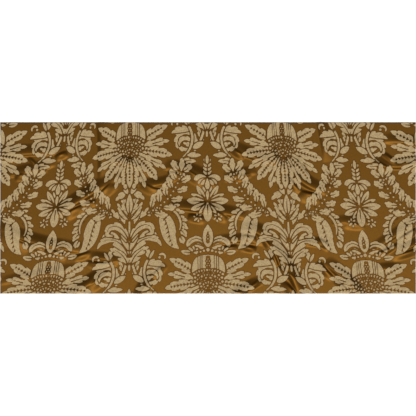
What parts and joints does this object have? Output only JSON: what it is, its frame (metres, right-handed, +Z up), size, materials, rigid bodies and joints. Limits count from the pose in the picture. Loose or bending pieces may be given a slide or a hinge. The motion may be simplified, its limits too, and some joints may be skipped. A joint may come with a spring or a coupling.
{
  "type": "jacquard damask fabric",
  "caption": "Rectangular cut length of two-tone jacquard damask furnishing cloth, lying flat on a surface in low uneven wrinkles.",
  "frame": {"origin": "on the surface that the cloth lies on, under the middle of its outline", "axes": "+X across the loom, the cloth's long side; +Y along the warp, up the pattern; +Z up from the surface to the face of the cloth"},
  "size_m": [1.0002, 0.4124, 0.0096],
  "materials": {
    "damask": "golden brown satin ground with a matte beige figure"
  },
  "bodies": {
    "root": {"damask_cloth": "damask"}
  },
  "joints": []
}
